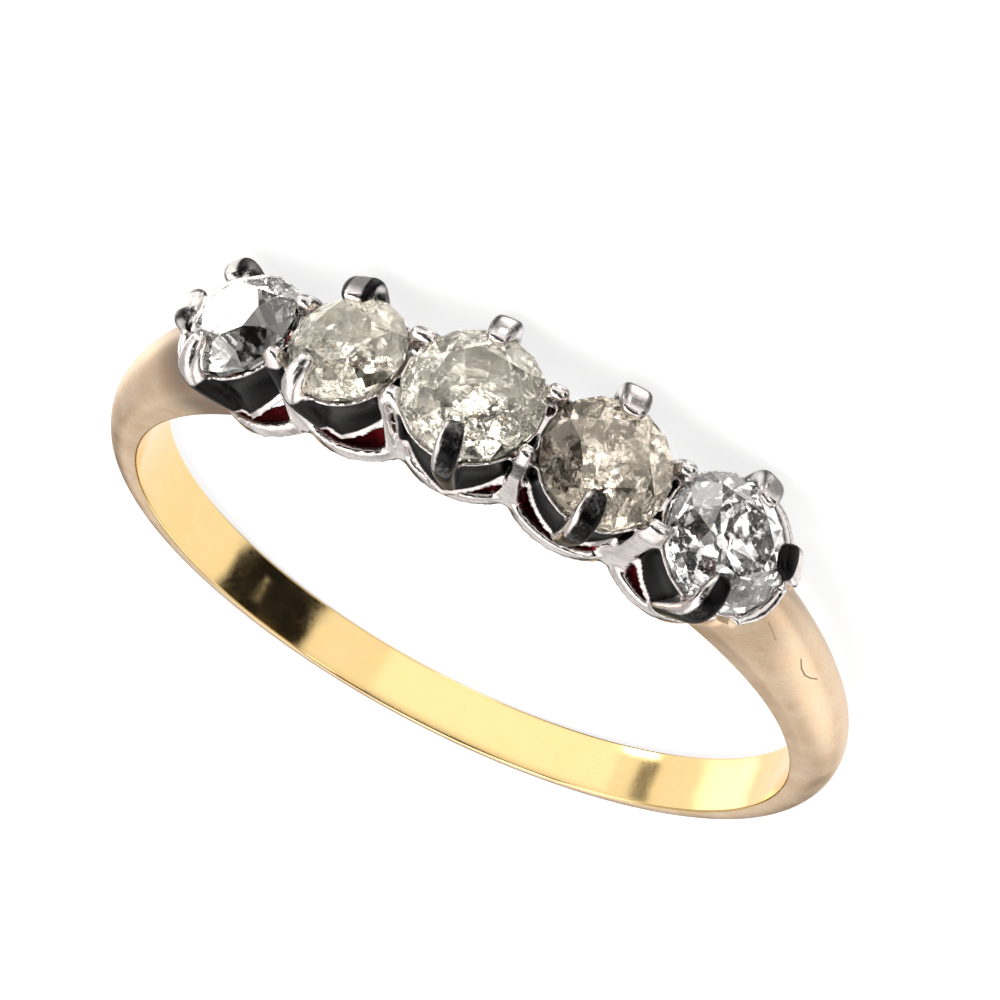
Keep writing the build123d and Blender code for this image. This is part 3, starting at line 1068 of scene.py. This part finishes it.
def gold_material():
    """Softly worn pinkish gold outside with painted shade beside the head, and polished orange yellow gold
    inside the finger hole.
    """
    material, n, shader = new_material("shank gold")
    shader["Metallic"].default_value = 1
    wear = n.use(fine_wear, {"Size": 1.0, "Scratch Length": 1.5})
    inside = n.attribute("inside")
    outer = n.mix(wear["Mottle"], (0.91, 0.66, 0.43), (0.98, 0.77, 0.56))
    outer = n.mix(n.math("MULTIPLY", wear["Scratches"], 0.35), outer, (0.55, 0.40, 0.27))
    # Painted shade: the gold beside the head is greyed and darkened here.
    head_shade = n.mix(wear["Mottle"], (0.36, 0.21, 0.16), (0.22, 0.21, 0.16))
    outer = n.mix(n.math("MULTIPLY", n.attribute("head_shade"), 0.85), outer, head_shade)
    cuts = deep_scratches(n)
    outer = n.mix(n.math("MULTIPLY", cuts, 0.9), outer, (0.16, 0.10, 0.06))
    inner = n.mix(wear["Mottle"], (0.97, 0.69, 0.31), (0.98, 0.73, 0.35))
    n.feed(shader["Base Color"], n.mix(inside, outer, inner))
    rough = n.math("ADD", 0.36, n.math("MULTIPLY", wear["Mottle"], 0.08))
    rough = n.math("ADD", rough, n.math("MULTIPLY", inside, -0.29))
    n.feed(shader["Roughness"], rough)
    worn = n.math("MULTIPLY", wear["Height"], n.math("SUBTRACT", 1.0, n.math("MULTIPLY", inside, 0.9)))
    n.feed(shader["Normal"], n.bump(n.math("SUBTRACT", worn, cuts), 0.25, 0.006))
    return material


def setting_material():
    """Worn white metal: bright rims and claw tips, black patina with painted shade and painted reflections in
    the scoops and on the claws, and a painted dark red reflection below them.
    """
    material, n, shader = new_material("setting metal")
    shader["Metallic"].default_value = 1
    wear = n.use(fine_wear, {"Size": 0.7, "Scratch Length": 0.8})
    # Black patina together with painted shade and painted reflections darkens the metal here.
    patina_and_shade = n.attribute("patina_and_shade")
    worn = n.math("ADD", patina_and_shade, n.math("MULTIPLY", n.math("SUBTRACT", wear["Mottle"], 0.5), 0.25))
    patina_and_shade_share = n.ramp(worn, 0.15, 0.75)
    bright = n.mix(wear["Mottle"], (0.78, 0.70, 0.68), (0.93, 0.89, 0.86))
    bright = n.mix(n.math("MULTIPLY", wear["Scratches"], 0.30), bright, (0.45, 0.42, 0.41))
    # A painted dark red reflection below the rims; elsewhere black patina with painted shade.
    dark = n.mix(n.attribute("red_reflection"), (0.014, 0.013, 0.013), (0.13, 0.008, 0.014))
    n.feed(shader["Base Color"], n.mix(patina_and_shade_share, bright, dark))
    rough = n.math("ADD", 0.13, n.math("MULTIPLY", patina_and_shade_share, 0.14))
    rough = n.math("ADD", rough, n.math("MULTIPLY", wear["Mottle"], 0.06))
    n.feed(shader["Roughness"], rough)
    n.feed(shader["Normal"], n.bump(wear["Height"], 0.35, 0.006))
    return material


# clear: the share of light that passes. cover: how much of the stone is cloudy. size: of the marks inside.
# shards: how strongly the near half looks crushed. Next, how dark its flakes of painted dark reflection are.
# spread: their share on the far half. Next, the side of the crown whose facets are painted dark as a
# reflection,
# in degrees round the stone. dark: by how much. gloss: how strongly its worn facets mirror the room. Then the
# colours of the clear stone, of its clouds, of its feathers and specks, and of its painted dark flakes and
# facets.
StoneLook = namedtuple("StoneLook", "stone clear cover size shards flakes spread dark_turn dark gloss"
                                    " tint cloud stain deep")
stone_looks = [
    StoneLook("stone_1", 0.97, 0.15, 0.9, 0.04, 0.40, 0.25, 150, 0.99, 1.0,
              (0.985, 0.975, 0.93), (0.92, 0.90, 0.83), (0.45, 0.42, 0.36), (0.003, 0.003, 0.003)),
    StoneLook("stone_2", 0.88, 0.45, 0.6, 0.50, 1.00, 0.30, 60, 0.10, 0.90,
              (0.995, 0.935, 0.80), (0.99, 0.92, 0.74), (0.50, 0.42, 0.29), (0.005, 0.004, 0.002)),
    StoneLook("stone_3", 0.88, 0.40, 0.75, 0.50, 0.97, 0.22, 200, 0.15, 0.90,
              (0.995, 0.935, 0.80), (0.99, 0.92, 0.74), (0.50, 0.42, 0.30), (0.005, 0.004, 0.003)),
    StoneLook("stone_4", 0.87, 0.50, 0.65, 0.42, 0.88, 0.32, 20, 0.94, 0.75,
              (0.96, 0.86, 0.71), (0.90, 0.79, 0.62), (0.24, 0.17, 0.10), (0.012, 0.006, 0.003)),
    StoneLook("stone_5", 0.92, 0.15, 0.95, 0.06, 0.85, 0.20, 330, 0.20, 1.0,
              (0.98, 0.98, 0.96), (0.95, 0.95, 0.92), (0.48, 0.48, 0.46), (0.003, 0.003, 0.003)),
]
crown_lean = Edge(0.40, 0.04)
near_half = Edge(-0.25, 0.70)
diamond_ior = 2.417


def stone_material(number, look):
    """An old cut stone with its own tint, clouds, feathers and specks, and painted dark reflections in flakes
    and on one side of its crown.
    """
    material, n, shader = new_material(look.stone + " crystal")
    shader["Transmission Weight"].default_value = look.clear
    shader["IOR"].default_value = diamond_ior
    shader["Specular Tint"].default_value = (*[look.gloss * part for part in look.tint], 1)
    marks = n.use(inclusions, {"Seed": number + 1.0, "Size": look.size, "Cover": look.cover})
    side = n.vector("DOT_PRODUCT", n.millimetres(), tuple(finger_axis), output=1)
    near_start = near_middle + near_half.start
    near = n.ramp(side, near_start, near_start + near_half.width)
    color = n.mix(marks["Cloud"], look.tint, look.cloud)
    color = n.mix(n.math("MULTIPLY", marks["Feather"], 0.45), color, look.stain)
    specks = n.math("MULTIPLY", marks["Speck"], n.math("MULTIPLY", marks["Cloud"], 0.6))
    color = n.mix(specks, color, look.stain)
    # Painted dark reflection in flakes, stronger on the near half.
    far_reflection_flakes = look.spread * look.flakes
    zone = n.math("ADD", far_reflection_flakes, n.math("MULTIPLY", near, look.flakes - far_reflection_flakes))
    color = n.mix(n.math("MULTIPLY", n.math("SUBTRACT", 1.0, marks["Flakes"]), zone), color, look.deep)
    # Crown facets facing one side are painted dark, as a reflection.
    turn = radians(look.dark_turn)
    way = stone_places[number].inverted().to_3x3() @ Vector((cos(turn), sin(turn), 0))
    way = (ring_to_row.to_3x3() @ way).normalized()
    normal = n.node("ShaderNodeNewGeometry").outputs["True Normal"]
    facing = n.vector("DOT_PRODUCT", normal, tuple(way), output=1)
    facet = n.ramp(facing, crown_lean.start, crown_lean.start + crown_lean.width)
    dark = n.math("MULTIPLY", facet, look.dark)
    n.feed(shader["Base Color"], n.mix(dark, color, look.deep))
    n.feed(shader["Roughness"], n.math("MULTIPLY", marks["Cloud"], look.cover * 0.08))
    crushed = n.math("MULTIPLY", marks["Shards"], near)
    height = n.math("ADD", crushed, n.math("MULTIPLY", marks["Cloud"], 0.01))
    n.feed(shader["Normal"], n.bump(height, look.shards, 1.0))
    return material


fine_wear = build_fine_wear()
inclusions = build_inclusions()

shank = build_shank()
dress(shank, gold_material())
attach(shank, "root")
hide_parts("shank")

setting = build_setting()
dress(setting, setting_material())
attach(setting, "root")
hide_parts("setting")

for number, look in enumerate(stone_looks):
    node = frame["nodes"][look.stone]
    dress(node, stone_material(number, look))
    node.data.shade_flat()

build_camera()
build_stage()

scene = bpy.context.scene
scene.cycles.max_bounces = 18
scene.cycles.transmission_bounces = 18
scene.cycles.glossy_bounces = 10
scene.cycles.caustics_reflective = False
scene.cycles.caustics_refractive = False
scene.view_settings.view_transform = "Standard"
